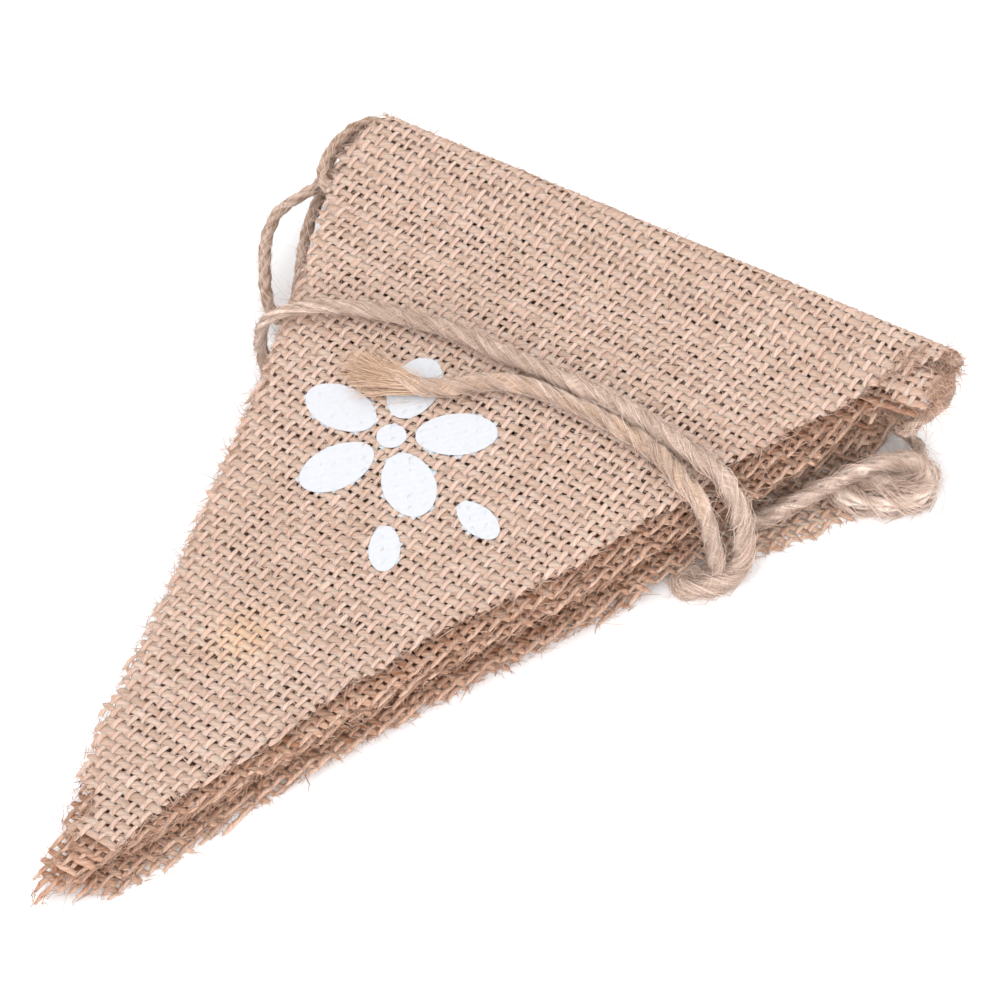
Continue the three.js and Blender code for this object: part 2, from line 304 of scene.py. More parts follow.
def inside(n, x, y, grow):
    """Whether a point of the flat cloth is on pennant n, with its cut edges moved out by grow."""
    shape = SHAPES[n]
    end = HEM_Y + FOLD + FLAP
    left = shape["left"] + [[HEM_Y, shape["hem"][0]], [end, shape["flap"][0]]]
    right = shape["right"] + [[HEM_Y, shape["hem"][1]], [end, shape["flap"][1]]]
    low = y > shape["tip"] - grow
    high = y < HEM_SLANT * x + end + grow
    return (x > along(left, y) - grow) & (x < along(right, y) + grow) & low & high


def unit(v):
    return v / np.maximum(np.linalg.norm(v, axis=-1, keepdims=True), 1e-9)


def make_mesh(name, points, quads, uv=None, marks=None):
    """Smooth mesh object of quads. uv is per point, and marks is a colour per point."""
    mesh = bpy.data.meshes.new(name)
    mesh.vertices.add(len(points))
    mesh.vertices.foreach_set("co", (np.asarray(points, np.float64) * MM).ravel())
    mesh.loops.add(quads.size)
    mesh.loops.foreach_set("vertex_index", quads.astype(np.int32).ravel())
    mesh.polygons.add(len(quads))
    mesh.polygons.foreach_set("loop_start", np.arange(0, quads.size, 4, dtype=np.int32))
    mesh.polygons.foreach_set("use_smooth", np.ones(len(quads), bool))
    mesh.update(calc_edges=True)
    if uv is not None:
        corners = uv[quads]
        wrapped = np.ptp(corners[..., 1], axis=1, keepdims=True) > 0.5
        corners[..., 1] += wrapped & (corners[..., 1] < 0.5)
        corners[..., 1] += corners[..., 0] / YARN_TWIST
        layer = mesh.uv_layers.new(name="Yarn")
        layer.data.foreach_set("uv", corners.astype(np.float32).ravel())
    if marks is not None:
        colour = mesh.color_attributes.new(name="Marks", type="FLOAT_COLOR", domain="POINT")
        colour.data.foreach_set("color", marks.astype(np.float32).ravel())
    mesh.validate()
    obj = bpy.data.objects.new(name, mesh)
    bpy.context.scene.collection.objects.link(obj)
    return obj


def tubes(rings, lateral, up, half_wide, half_high, strand, sides, profile=None):
    """Points and quads of closed tubes. strand numbers each ring's tube, in order."""
    turn = 2 * np.pi * np.arange(sides) / sides + np.pi / sides
    shape = np.ones((len(rings), sides)) if profile is None else profile
    wide = (half_wide[:, None] * shape * np.cos(turn))[..., None]
    high = (half_high[:, None] * shape * np.sin(turn))[..., None]
    points = rings[:, None] + lateral[:, None] * wide + up[:, None] * high
    first = np.arange(len(rings))
    joined = first[:-1][strand[:-1] == strand[1:]]
    side = np.arange(sides)
    following = (side + 1) % sides
    near_ring, far_ring = joined[:, None] * sides, (joined[:, None] + 1) * sides
    quads = np.stack([near_ring + side, near_ring + following,
                      far_ring + following, far_ring + side], -1)
    starts = first[np.r_[True, strand[1:] != strand[:-1]]]
    ends = first[np.r_[strand[1:] != strand[:-1], True]]
    m = np.arange(sides // 2 - 1)
    cap = np.stack([m, m + 1, sides - 2 - m, sides - 1 - m], -1)
    caps = [(starts[:, None, None] * sides + cap[None, :, ::-1]).reshape(-1, 4),
            (ends[:, None, None] * sides + cap[None]).reshape(-1, 4)]
    return points.reshape(-1, 3), np.concatenate([quads.reshape(-1, 4), *caps])


def fibre_marks(tone, tint=0):
    """Marks of fibres without paint, from their tone and their share of the golden tint."""
    return np.stack([tone, 0 * tone, tint + 0 * tone, 1 + 0 * tone], -1)


def fibre_tones(kind, count):
    return rng.normal(*FIBRES[kind]["tone"], count)


def hairs(name, kind, roots, heading, up, length, marks):
    """Thin three-sided fibres from roots towards heading, each with a bend of its own."""
    count, steps = len(roots), FIBRES[kind]["steps"]
    radius = rng.uniform(*FIBRES[kind]["radius"], count)
    curl = rng.uniform(*FIBRES[kind]["curl"], count)
    heading, up = unit(heading), unit(up)
    sideways = unit(np.cross(heading, up))
    bend = rng.normal(0, 1, (count, 2)) * curl[:, None]
    wiggle = rng.uniform(0, 2 * np.pi, count)
    t = np.linspace(0, 1, steps + 1)
    reach = length[:, None] * t
    sway = bend[:, :1] * t ** 2 + 0.15 * curl[:, None] * np.sin(7 * t + wiggle[:, None])
    rise = bend[:, 1:] * t ** 2
    path = (roots[:, None] + heading[:, None] * reach[..., None]
            + sideways[:, None] * (length[:, None] * sway)[..., None]
            + up[:, None] * (length[:, None] * rise)[..., None])
    path[..., 2] = np.clip(path[..., 2], HAIR_FLOOR, HAIR_CEILING)
    tangent = unit(np.gradient(path, axis=1))
    lateral = unit(np.cross(tangent, up[:, None] + 0.01))
    over = np.cross(lateral, tangent)
    thick = radius[:, None] * (1 - 0.75 * t)
    strand = np.repeat(np.arange(count), steps + 1)
    flat = [a.reshape(-1, 3) for a in (path, lateral, over)]
    points, quads = tubes(*flat, thick.ravel(), thick.ravel(), strand, 3)
    return make_mesh(name, points, quads, uv=np.zeros((len(points), 2)),
                     marks=np.repeat(marks, 3 * (steps + 1), 0))


# The stencilled flower on the top pennant: petals, leaves and a round middle
FLOWER = (-19.5, -13.5)
PETALS = 5
FIRST_PETAL = 90 + 14
PETAL = dict(start=5.2, length=18, width=13.6)
LEAVES = (-58, -18)
LEAF = dict(start=24.5, length=12.5, width=8)
MIDDLE = 3.3

# The yellow stain: its middle and twice the square of its spread
STAIN = (-14.5, -75)
STAIN_SPREAD = 50


def petal_list():
    """Direction and form of each painted shape but the middle."""
    found = []
    for k in range(PETALS):
        found.append((math.radians(FIRST_PETAL + 360 / PETALS * k), PETAL))
    for turn in LEAVES:
        found.append((math.radians(turn), LEAF))
    return found


def petal_profile(s):
    """Half width of a petal along its length, as a share of its full width."""
    bulge = np.sin(np.pi * np.clip(s, 0, 1) ** 0.85)
    return 0.5 * np.sqrt(np.clip(bulge, 0, 1)) * (0.72 + 0.28 * s)


def painted(x, y):
    """Share of paint at a point of the flat cloth."""
    dx, dy = x - FLOWER[0], y - FLOWER[1]
    inked = np.hypot(dx, dy) < MIDDLE
    for angle, form in petal_list():
        u = (dx * math.cos(angle) + dy * math.sin(angle) - form["start"]) / form["length"]
        v = -dx * math.sin(angle) + dy * math.cos(angle)
        inked |= (u > 0) & (u < 1) & (np.abs(v) < form["width"] * petal_profile(u))
    return inked.astype(float)


def lattice(n):
    """Crossings of pennant n's yarns on the flat cloth, as [warp, weft, xy]."""
    across = math.radians(WEFT_ANGLE + LEAN[n])
    upward = math.radians(WARP_ANGLE - LEAN[n])
    i = np.arange(-62, 63)[:, None]
    j = np.arange(-88, 46)[None, :]
    x = i * WARP_PITCH * math.cos(across) + j * WEFT_PITCH * math.sin(upward) + 0 * j
    y = i * WARP_PITCH * math.sin(across) + j * WEFT_PITCH * math.cos(upward)
    warp_shift = rng.normal(0, 0.08, (x.shape[0], 1))
    weft_shift = rng.normal(0, 0.09, (1, x.shape[1]))
    phase = rng.uniform(0, 2 * np.pi, (6,))
    wander_x = 0.3 * np.sin(x / 17 + y / 29 + phase[0]) + 0.25 * np.sin(y / 11 + phase[1])
    wander_y = 0.35 * np.sin(x / 23 - y / 31 + phase[2]) + 0.25 * np.sin(x / 13 + phase[3])
    jitter = rng.normal(0, 0.07, (2, *x.shape))
    return np.stack([x + warp_shift + wander_x + jitter[0],
                     y + weft_shift + wander_y + jitter[1]], -1)


def yarn_set(n, crossings, over, form, sides, fine):
    """Tubes of all yarns that run along the second axis of crossings, cut to pennant n.

    Fine yarns have a ring on either side of each crossing. Others have one at each crossing, and
    one between crossings at the hem only.
    """
    step = np.gradient(crossings, axis=1)
    spots = [-CREST, CREST] if fine else [0, 0.5]
    yarns, count = crossings.shape[0], 2 * crossings.shape[1]
    flat = np.stack([crossings + spot * step for spot in spots], 2).reshape(yarns, count, 2)
    level = np.stack([over, over if fine else 0 * over], 2).reshape(yarns, count)
    grow = np.where(np.arange(count) < count // 2, rng.normal(*CUT_EDGE, (yarns, 1)),
                    rng.normal(*CUT_EDGE, (yarns, 1)))
    keep = inside(n, flat[..., 0], flat[..., 1], grow)
    run = np.cumsum(np.r_[True, ~keep.ravel()[:-1]] | (np.arange(keep.size) % count == 0))
    size = np.bincount(run[keep.ravel()], minlength=run.max() + 1)
    keep &= (size[run] >= FEWEST_RINGS).reshape(keep.shape)
    if not fine:
        margin = 5
        at_hem = (flat[..., 1] > HEM_Y - margin) & (flat[..., 1] < HEM_Y + FOLD + margin)
        keep &= at_hem | (np.arange(count) % 2 == 0)
    strand = run[keep.ravel()]
    number = np.repeat(np.arange(yarns), count)[keep.ravel()]
    x, y = flat[keep].T
    thick = rng.lognormal(0, YARN_SPREAD, yarns)[number] * (1 if n == 0 else INNER_WIDTH)
    phase = rng.uniform(0, 2 * np.pi, yarns)[number]
    slub = 1 + SLUB * np.sin(y * 0.31 + x * 0.27 + phase) + rng.normal(0, YARN_SPREAD, len(x))
    normal = place_normal(n, x, y)
    rings = place(n, x, y) + normal * (level[keep] * form["crimp"] + form["level"])[:, None]
    same_before = np.r_[False, strand[1:] == strand[:-1]]
    same_after = np.r_[strand[1:] == strand[:-1], False]
    before = np.where(same_before[:, None], np.roll(rings, 1, 0), rings)
    after = np.where(same_after[:, None], np.roll(rings, -1, 0), rings)
    tangent = unit(after - before)
    lateral = unit(np.cross(normal, tangent))
    up = np.cross(tangent, lateral)
    taper = np.where(same_before & same_after, 1.0, 0.55)
    half_wide = form["width"] / 2 * thick * slub * taper
    half_high = form["height"] / 2 * thick ** 0.5 * taper
    points, quads = tubes(rings, lateral, up, half_wide, half_high, strand, sides)
    length = np.cumsum(np.where(same_before, np.linalg.norm(rings - before, axis=1), 0))
    turn = np.tile(np.arange(sides) / sides, len(rings))
    uv = np.stack([np.repeat(length, sides), turn], -1)
    tone = rng.normal(*YARN_TONE, yarns)[number] + PENNANT_TONES_AND_SHADE[n]
    # Painted shade: the pennants between the top and the bottom one are darker more than 2.5 mm
    # inside their cut edges and below the hem, where the layers above and below shade them
    if 0 < n < PENNANTS - 1:
        tone -= INNER_PAINTED_SHADE * (inside(n, x, y, -2.5) & (y < HEM_Y - 3))
    flat_points = np.repeat(np.stack([x, y], -1), sides, 0)
    ends = np.flatnonzero(~(same_before & same_after))
    outward = np.where(same_before[ends][:, None], tangent[ends], -tangent[ends])
    fray = dict(at=rings[ends], heading=outward, up=normal[ends], tone=tone[ends])
    # form's tone adds the warp's painted highlight or the weft's painted shade
    return points, quads, uv, np.repeat(tone, sides) + form["tone"], flat_points, fray


def woven_pennant(n):
    """The yarns of pennant n as one object, and the loose fibres at its cut edges as another."""
    sides = TOP_SIDES if n == 0 else INNER_SIDES
    crossings = lattice(n)
    parity = (np.indices(crossings.shape[:2]).sum(0) % 2) * 2 - 1
    warp = yarn_set(n, crossings, parity, WARP, sides, n == 0)
    weft = yarn_set(n, crossings.swapaxes(0, 1), -parity.T, WEFT, sides, n == 0)
    points, quads, uv, tone, flat = (np.concatenate(both) for both in zip(warp[:5], weft[:5]))
    quads[len(warp[1]):] += len(warp[0])
    uv[len(warp[2]):] += [0, 3]
    paint = painted(flat[:, 0], flat[:, 1]) if n == 0 else np.zeros(len(flat))
    middle = place(n, flat[:, 0], flat[:, 1])
    above = ((points - middle)[:, 2] > -0.1).astype(float)
    from_stain = (flat[:, 0] - STAIN[0]) ** 2 + (flat[:, 1] - STAIN[1]) ** 2
    stain = np.exp(-from_stain / STAIN_SPREAD) * (n == 0)
    marks = np.stack([tone, paint * above, stain, np.ones(len(tone))], -1)
    cloth = make_mesh(f"burlap_{n + 1}", points, quads, uv, marks)
    fray = {key: np.concatenate([warp[5][key], weft[5][key]]) for key in warp[5]}
    pick = np.repeat(np.arange(len(fray["at"])), FIBRES["fringe"]["count"])
    count = len(pick)
    spread = rng.normal(0, 0.5, (count, 3))
    short = rng.gamma(2.0, 0.48, count) + 0.3
    roots = fray["at"][pick] + rng.normal(0, 0.18, (count, 3))
    fringe = hairs(f"fringe_{n + 1}", "fringe", roots, fray["heading"][pick] + spread,
                   fray["up"][pick], short, fibre_marks(fray["tone"][pick]))
    return cloth, fringe


def matted_rim(n):
    """Fibres that have worked loose along pennant n's two cut sides and lie matted there."""
    count = FIBRES["rim"]["count"]
    shape = SHAPES[n]
    end = HEM_Y + FOLD + FLAP
    parts = []
    for key, inward in (("left", 1), ("right", -1)):
        edge = shape[key] + [[HEM_Y, shape["hem"][inward < 0]], [end, shape["flap"][inward < 0]]]
        y = rng.uniform(shape["tip"], end, count)
        x = along(edge, y) + inward * rng.uniform(-0.3, 1.7, count)
        ahead = place(n, along(edge, y + 1), y + 1) - place(n, along(edge, y - 1), y - 1)
        parts.append((x, y, unit(ahead)))
    x, y, ahead = (np.concatenate(values) for values in zip(*parts))
    normal = place_normal(n, x, y)
    roots = place(n, x, y) + normal * rng.uniform(-0.5, 0.5, (len(x), 1))
    heading = ahead * rng.choice([-1, 1], (len(x), 1)) + rng.normal(0, 0.36, (len(x), 3))
    marks = fibre_marks(fibre_tones("rim", len(x)) + PENNANT_TONES_AND_SHADE[n])
    length = rng.gamma(2, 0.85, len(x)) + 0.8
    return hairs(f"rim_{n + 1}", "rim", roots, heading, normal, length, marks)


def spline(points, step):
    """Centripetal Catmull-Rom curve through points, with long spans kept straight."""
    given = [np.array(p, float) for p in points]
    route = [given[0]]
    marks = [0]
    for k, (a, b) in enumerate(zip(given, given[1:])):
        gap = np.linalg.norm(b - a)
        if gap > 60:
            route += [a + (b - a) * 4 / gap, b - (b - a) * 4 / gap]
            marks += [k + 0.05, k + 0.95]
        route.append(b)
        marks.append(k + 1)
    route = np.array([2 * route[0] - route[1], *route, 2 * route[-1] - route[-2]])
    curve, where = [], []
    for k in range(len(route) - 3):
        p = route[k:k + 4]
        knots = np.concatenate([[0], np.cumsum(np.linalg.norm(np.diff(p, axis=0), axis=1) ** 0.5)])
        count = max(1, round(np.linalg.norm(p[2] - p[1]) / step))
        t = knots[1] + (knots[2] - knots[1]) * np.arange(count) / count
        t = t[:, None]
        a = [(knots[m + 1] - t) / (knots[m + 1] - knots[m]) * p[m]
             + (t - knots[m]) / (knots[m + 1] - knots[m]) * p[m + 1] for m in range(3)]
        b = [(knots[m + 2] - t) / (knots[m + 2] - knots[m]) * a[m]
             + (t - knots[m]) / (knots[m + 2] - knots[m]) * a[m + 1] for m in range(2)]
        curve.append((knots[2] - t) / (knots[2] - knots[1]) * b[0]
                     + (t - knots[1]) / (knots[2] - knots[1]) * b[1])
        where.append(marks[k] + (marks[k + 1] - marks[k]) * np.arange(count) / count)
    return np.concatenate([*curve, route[-2:-1]]), np.concatenate([*where, [marks[-1]]])


def frames(path):
    """Tangents and twist-free side vectors along a path."""
    tangent = unit(np.gradient(path, axis=0))
    side = np.zeros_like(path)
    side[0] = unit(np.cross(tangent[0], [0, 0, 1]))
    for k in range(1, len(path)):
        turned = side[k - 1] - tangent[k] * np.dot(side[k - 1], tangent[k])
        side[k] = turned / np.linalg.norm(turned)
    return tangent, side, np.cross(tangent, side)


def build_twine():
    """Three strands laid up as one tube, thicker and looser where it is the tie.

    Returns the object, its path, each ring's place among TWINE's points, the length travelled,
    the path's axes, its half width and the twist of its strands.
    """
    sides, lobes = 18, 3
    path, where = spline(TWINE, 1.5)
    tangent, side, up = frames(path)
    travelled = np.r_[0, np.cumsum(np.linalg.norm(np.diff(path, axis=0), axis=1))]
    tie = ease((where - TIE_START) / 3)
    brush = ease((where - BRUSH_START) / 1.3)
    strand_radius, strand_out = 0.68, 0.8
    turn = 2 * np.pi * np.arange(sides) / sides + np.pi / sides
    pitch = 13 + 8 * tie
    twist = np.cumsum(np.r_[0, np.diff(travelled)] * 2 * np.pi / pitch)
    delta = (turn[None] - twist[:, None]) % (2 * np.pi / lobes)
    delta = np.minimum(delta, 2 * np.pi / lobes - delta)
    root = np.sqrt(np.maximum(strand_radius ** 2 - (strand_out * np.sin(delta)) ** 2, 0.02))
    profile = (strand_out * np.cos(delta) + root) * rng.normal(1, 0.06, delta.shape)
    splay = 0.75 * near(where, RIGHT_LOOP_SPLAY)
    slack = 0.4 * near(where, LEFT_SIDE_SLACK)
    corner = 0.3 * near(where, CORNER)
    tip = 0.3 + 0.7 * np.sqrt(ease(travelled / 2))
    uneven = 1 + 0.07 * np.sin(travelled / 9)
    wide = (1 + 0.3 * tie + splay + corner - slack) * uneven * (1 - 0.75 * brush) * tip
    high = (1 + 0.1 * tie + corner - slack / 2) * (1 - 0.8 * brush) * tip
    points, quads = tubes(path, side, up, wide, high, np.zeros(len(path), int), sides, profile)
    points[:, 2] = np.maximum(points[:, 2], 0.06)
    round_it = (turn[None] - twist[:, None]).ravel() / (2 * np.pi)
    uv = np.stack([np.repeat(travelled, sides), round_it], -1)
    golden = 0.7 * ease((where - GOLDEN_START) / 3)
    # Painted light: the twine is painted lighter at the right loop, where the stack shades it, and
    # a little at the underturn
    painted_light = 0.9 * near(where, RIGHT_LOOP_PAINTED_LIGHT) + 0.2 * near(where, UNDERTURN_PAINTED_LIGHT)
    # Painted light: the tone is raised along the tie and, with the splay, at the right loop, to
    # lighten their shading; the golden tint and the slow sine are the twine's own colour
    tone = 0.17 + 0.53 * tie + 0.4 * splay + painted_light - 0.2 * golden + 0.12 * np.sin(travelled / 14)
    # Painted shade: the twine is darker in the grooves between its strands
    painted_groove_shade = 0.55 * (1 - np.clip(profile - 0.6, 0, 0.88) / 0.88) ** 1.5
    tones = (tone + rng.normal(0, 0.05, len(travelled)))[:, None] - painted_groove_shade
    marks = fibre_marks(tones.ravel(), np.repeat(golden, sides))
    twine = make_mesh("jute_twine", points, quads, uv, marks)
    return twine, path, where, travelled, (tangent, side, up), wide, twist


def in_sight(where):
    """Rings of the twine outside its long straight runs, which are hidden."""
    hidden_run = 100
    spans = np.linalg.norm(np.diff(np.array(TWINE), axis=0), axis=1)
    return np.flatnonzero(spans[np.minimum(where.astype(int), len(spans) - 1)] < hidden_run)


def twine_fuzz(path, where, axes, wide):
    """Stray fibres that stand off the twine, most of them on the tie."""
    tangent, side, up = axes
    shown = in_sight(where)
    weight = 1 + 3.2 * ease((where[shown] - TIE_START) / 3)
    count = FIBRES["twine_fuzz"]["count"]
    at = rng.choice(shown, count, p=weight / weight.sum())
    turn = rng.uniform(0, 2 * np.pi, count)
    out = side[at] * np.cos(turn)[:, None] + up[at] * np.sin(turn)[:, None]
    roots = path[at] + out * (wide[at] * 0.95)[:, None]
    heading = tangent[at] * rng.choice([-1, 1], count)[:, None]
    heading = heading + out * rng.uniform(0, 0.6, (count, 1))
    heading += rng.normal(0, 0.35, (count, 3))
    marks = fibre_marks(fibre_tones("twine_fuzz", count))
    length = rng.gamma(2.2, 1.4, count) + 0.8
    return hairs("twine_fuzz", "twine_fuzz", roots, heading, out, length, marks)


def lying_fibres(path, where, axes, wide, twist):
    """Fibres that run along the twine just clear of its strands, most of them on the tie."""
    tangent, side, up = axes
    count, steps = FIBRES["twine_fibres"]["count"], FIBRES["twine_fibres"]["steps"]
    shown = in_sight(where)
    shown = shown[where[shown] < BRUSH_START]
    weight = 1 + 2.5 * ease((where[shown] - TIE_START) / 3)
    weight = weight + 2 * near(where[shown], UNDERTURN_FIBRES)
    start = rng.choice(shown, count, p=weight / weight.sum())
    span = rng.uniform(5, 14, count)
    t = np.linspace(0, 1, steps + 1)
    at = np.clip(start[:, None] + span[:, None] * t, 0, len(path) - 1.001)
    low = at.astype(int)
    part = (at - low)[..., None]

    def mix(values):
        return values[low] * (1 - part) + values[low + 1] * part

    strand = rng.integers(0, 3, (count, 1)) * 2 * np.pi / 3 + rng.normal(0, 0.42, (count, 1))
    turn = twist[low] * (1 - part[..., 0]) + twist[low + 1] * part[..., 0] + strand
    turn += rng.normal(0, 0.9, (count, 1)) * (t - 0.5) + rng.normal(0, 0.07, turn.shape)
    out = unit(mix(side) * np.cos(turn)[..., None] + mix(up) * np.sin(turn)[..., None])
    lift = rng.uniform(1.3, 1.55, (count, 1)) + rng.exponential(0.3, (count, 1)) * (2 * t - 1) ** 2
    loose = near(where[start], UNDERTURN_LOOSE) + near(where[start], RIGHT_LOOP_LOOSE)
    loose = loose[:, None]
    lift += loose * rng.exponential(0.3, (count, 1)) * (1 - (2 * t - 1) ** 2)
    reach = lift * (wide[low] * (1 - part[..., 0]) + wide[low + 1] * part[..., 0])
    points = mix(path) + out * reach[..., None]
    points[..., 2] = np.maximum(points[..., 2], 0.1)
    heading = unit(np.gradient(points, axis=1))
    lateral = unit(np.cross(heading, out))
    over = np.cross(lateral, heading)
    radius = rng.uniform(*FIBRES["twine_fibres"]["radius"], (count, 1))
    thick = radius * (1 - 0.6 * np.abs(2 * t - 1))
    number = np.repeat(np.arange(count), steps + 1)
    flat = [a.reshape(-1, 3) for a in (points, lateral, over)]
    mesh_points, quads = tubes(*flat, thick.ravel(), thick.ravel(), number, 3)
    tone = np.repeat(fibre_tones("twine_fibres", count) + 0.35 * loose[:, 0], 3 * (steps + 1))
    return make_mesh("twine_fibres", mesh_points, quads, np.zeros((len(tone), 2)),
                     fibre_marks(tone))


def brush_end(path, where, axes):
    """The frayed free end, a fan of fibres that lies on the cloth."""
    tangent, side, _ = axes
    count = FIBRES["twine_brush"]["count"]
    end = np.flatnonzero(where > BRUSH_START)
    at = end[(len(end) * rng.random(count) ** 1.2 * 0.8).astype(int)]
    share = (at - end[0]) / (end[-1] - end[0])
    offset = rng.normal(0, 1, count)
    roots = path[at] + side[at] * (offset * (0.9 - 0.3 * share))[:, None]
    roots[:, 2] += rng.uniform(-0.9, 0.8, count)
    heading = tangent[at] + side[at] * (offset * 0.24 + 0.05 * np.sin(9 * offset))[:, None]
    heading += rng.normal(0, 0.07, (count, 3))
    heading[:, 2] = rng.uniform(-0.12, 0.05, count)
    length = (1 - share) * 11 + rng.uniform(1.5, 6, count)
    clump = np.sin(9 * offset) + np.sin(23 * offset + 1)
    marks = fibre_marks(fibre_tones("twine_brush", count) + 0.25 * clump, tint=1)
    upright = np.tile([0.0, 0.0, 1.0], (count, 1))
    return hairs("twine_brush", "twine_brush", roots, heading, upright, length, marks)


def spots_on_top(kind, highest, margin):
    """Random points of the top pennant's flat cloth for a kind of fibre, off the paint."""
    count = FIBRES[kind]["count"]
    x, y = rng.uniform(-80, 75, count * 3), rng.uniform(-135, highest, count * 3)
    keep = np.flatnonzero(inside(0, x, y, -margin) & (painted(x, y) < 0.5))[:count]
    return x[keep], y[keep]


def cloth_fuzz():
    """Fine fibres that stand off the top pennant."""
    x, y = spots_on_top("cloth_fuzz", 66, 1)
    count = len(x)
    normal = place_normal(0, x, y)
    roots = place(0, x, y) + normal * rng.uniform(-0.2, 0.42, (count, 1))
    along_yarn = np.where(rng.random((count, 1)) < 0.5, [[1.0, -0.08, 0]], [[0.04, 1.0, 0]])
    heading = along_yarn * rng.choice([-1, 1], (count, 1)) + rng.normal(0, 0.28, (count, 3))
    heading = heading + normal * 0.1
    marks = fibre_marks(fibre_tones("cloth_fuzz", count))
    length = rng.gamma(2, 0.9, count) + 0.6
    return hairs("cloth_fuzz", "cloth_fuzz", roots, heading, normal, length, marks)


def cloth_haze():
    """Matted fibres that half fill the holes between the top pennant's yarns."""
    x, y = spots_on_top("cloth_haze", HEM_Y, 1.5)
    count = len(x)
    normal = place_normal(0, x, y)
    roots = place(0, x, y) + normal * rng.uniform(-0.3, -0.05, (count, 1))
    turn = rng.uniform(0, 2 * np.pi, count)
    heading = np.stack([np.cos(turn), np.sin(turn), 0 * turn], -1)
    heading -= normal * (heading * normal).sum(-1, keepdims=True)
    marks = fibre_marks(fibre_tones("cloth_haze", count))
    length = rng.uniform(2, 4, count)
    return hairs("cloth_haze", "cloth_haze", roots, heading, normal, length, marks)


def stray_fibres():
    """Long loose fibres on the top pennant's cut edge and face."""
    spots = [(61, 54), (62.5, 56), (60, 52), (63.5, 55), (58, 49), (64, 58), (-70, 63), (-72, 60),
             (-60, 64), (50, 35), (20, -26), (-40, -30), (-62, 5), (10, 30), (30, 45), (-30, 40),
             (-5, -60), (0, 50)]
    count = len(spots)
    x, y = np.array(spots).T
    normal = place_normal(0, x, y)
    heading = np.stack([rng.normal(0.4, 0.7, count), rng.normal(-0.3, 0.7, count), 0 * x], -1)
    roots = place(0, x, y) + normal * 0.45
    marks = fibre_marks(fibre_tones("stray_fibres", count))
    length = rng.uniform(8, 17, count)
    return hairs("stray_fibres", "stray_fibres", roots, heading, normal, length, marks)


def hem_end_fibres(n, count, reach, tone):
    """The frayed mass at the open right end of pennant n's hem."""
    end = HEM_Y + FOLD + FLAP
    y = rng.uniform(HEM_Y - 6, end, count)
    edge = np.interp(y, [HEM_Y, end], [SHAPES[n]["hem"][1], SHAPES[n]["flap"][1]])
    x = edge + rng.uniform(-3, reach, count) - 6 * (y < HEM_Y)
    normal = place_normal(n, x, y)
    heading = rng.normal(0, 0.6, (count, 3)) + [0.9, -0.5, -0.3]
    roots = place(n, x, y) + normal * rng.uniform(-0.8, 0.1, (count, 1))
    marks = fibre_marks(rng.normal(tone, 0.3, count))
    length = rng.uniform(1.5, 4.5, count)
    return hairs(f"hem_end_{n + 1}", "hem_end", roots, heading, normal, length, marks)


def paint_film():
    """The paint that fills the weave, as a thin film over each stencilled shape."""
    pieces, faces, start = [], [], 0

    def add(grid_x, grid_y):
        nonlocal start
        rows, columns = grid_x.shape
        ripple = 0.05 * np.cos(2 * np.pi * grid_x / WARP_PITCH)
        ripple = ripple * np.cos(2 * np.pi * grid_y / WEFT_PITCH)
        lift = place_normal(0, grid_x, grid_y) * (PAINT_LIFT + ripple)[..., None]
        pieces.append((place(0, grid_x, grid_y) + lift).reshape(-1, 3))
        k = np.arange(rows * columns).reshape(rows, columns)
        quad = np.stack([k[:-1, :-1], k[1:, :-1], k[1:, 1:], k[:-1, 1:]], -1).reshape(-1, 4)
        faces.append(quad + start)
        start += rows * columns

    for angle, form in petal_list():
        s = np.linspace(0.004, 0.996, 40)[:, None]
        w = np.linspace(-1, 1, 27)[None, :]
        u = form["start"] + form["length"] * s + 0 * w
        v = form["width"] * petal_profile(s) * w
        add(FLOWER[0] + u * math.cos(angle) - v * math.sin(angle),
            FLOWER[1] + u * math.sin(angle) + v * math.cos(angle))
    radius = np.linspace(0.05, MIDDLE, 8)[:, None]
    turn = np.linspace(0, 2 * np.pi, 41)[None, :]
    add(FLOWER[0] + radius * np.cos(turn), FLOWER[1] + radius * np.sin(turn))
    points = np.concatenate(pieces)
    return make_mesh("stencil_paint", points, np.concatenate(faces)[:, ::-1], uv=points[:, :2])


def new_material(name):
    """Material with its nodes, its links and its surface shader."""
    material = bpy.data.materials.new(name)
    material.use_nodes = True
    nodes = material.node_tree.nodes
    return material, nodes, material.node_tree.links, nodes["Principled BSDF"]


def spread(nodes, links, texture, low, high):
    """The texture's middle range of values, spread over 0 to 1."""
    node = nodes.new("ShaderNodeMapRange")
    node.inputs["From Min"].default_value = low
    node.inputs["From Max"].default_value = high
    links.new(texture.outputs["Fac"], node.inputs["Value"])
    return node.outputs["Result"]


def weigh(nodes, links, value, share, rest):
    """value times share, plus rest."""
    node = nodes.new("ShaderNodeMath")
    node.operation = "MULTIPLY_ADD"
    node.inputs[1].default_value = share
    node.inputs[2].default_value = 0
    links.new(value, node.inputs[0])
    if rest is not None:
        links.new(rest, node.inputs[2])
    return node.outputs["Value"]


